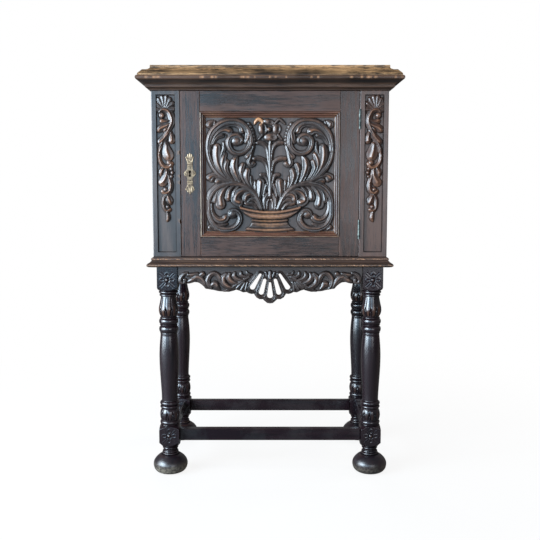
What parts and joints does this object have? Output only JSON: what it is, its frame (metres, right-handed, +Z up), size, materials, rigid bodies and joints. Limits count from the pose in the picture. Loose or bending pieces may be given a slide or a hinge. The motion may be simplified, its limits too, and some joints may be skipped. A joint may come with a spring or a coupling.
{
  "type": "carved oak side cabinet",
  "caption": "Tall side cabinet in dark carved oak: one hinged door with a carved panel, moulded top, carved pilasters, pierced apron and turned legs joined by stretchers on bun feet.",
  "frame": {"origin": "on the floor, under the middle of the piece's bounding box", "axes": "+X to the viewer's right when facing the door, +Y from front to back, +Z up"},
  "size_m": [0.818, 0.4754, 1.3017],
  "materials": {
    "dark_oak": "dark stained and waxed oak, semi-gloss, warm brown where worn",
    "worn_oak": "waxed oak with the dark stain rubbed through to golden brown",
    "inner_oak": "plain unpolished oak",
    "brass": "cast brass, rubbed",
    "bronze": "tarnished brass with grey-green patina",
    "steel": "dull dark steel"
  },
  "bodies": {
    "cabinet": {"apron_front": "dark_oak", "apron_left": "dark_oak", "apron_rear": "dark_oak", "apron_right": "dark_oak", "back_panel": "inner_oak", "bottom_board": "dark_oak", "cornice_front": "worn_oak", "cornice_left": "worn_oak", "cornice_right": "worn_oak", "foot_front_left": "dark_oak", "foot_front_right": "dark_oak", "foot_rear_left": "dark_oak", "foot_rear_right": "dark_oak", "frieze_rail": "dark_oak", "hinge_lower_frame_leaf": "bronze", "hinge_lower_pin": "bronze", "hinge_upper_frame_leaf": "bronze", "hinge_upper_pin": "bronze", "leg_front_left": "dark_oak", "leg_front_right": "dark_oak", "leg_rear_left": "dark_oak", "leg_rear_right": "dark_oak", "pilaster_left": "dark_oak", "pilaster_right": "dark_oak", "shelf": "inner_oak", "shelf_cleat_left": "inner_oak", "shelf_cleat_right": "inner_oak", "side_left": "dark_oak", "side_right": "dark_oak", "stretcher_front": "dark_oak", "stretcher_left": "dark_oak", "stretcher_rear": "dark_oak", "stretcher_right": "dark_oak", "top_board": "worn_oak", "waist_moulding_front": "dark_oak", "waist_moulding_left": "dark_oak", "waist_moulding_right": "dark_oak"},
    "door": {"door_panel": "dark_oak", "door_rail_bottom": "dark_oak", "door_rail_top": "dark_oak", "door_stile_hinge": "dark_oak", "door_stile_lock": "dark_oak", "escutcheon": "brass", "escutcheon_pin_lower": "brass", "escutcheon_pin_upper": "brass", "hinge_lower_door_leaf": "bronze", "hinge_upper_door_leaf": "bronze", "lock_case": "steel", "panel_moulding_bottom": "dark_oak", "panel_moulding_left": "dark_oak", "panel_moulding_right": "dark_oak", "panel_moulding_top": "dark_oak"},
    "lock_bolt": {"lock_bolt": "steel"}
  },
  "joints": [
    {"name": "door_swing", "type": "hinge", "parent": "cabinet", "child": "door", "pos_m": [0.27825, -0.19825, 0.9681], "axis": [0, 0, 1], "range_deg": [0, 170]},
    {"name": "lock_bolt_slide", "type": "slide", "parent": "door", "child": "lock_bolt", "axis": [-1, 0, 0], "range_m": [0, 0.009]}
  ]
}
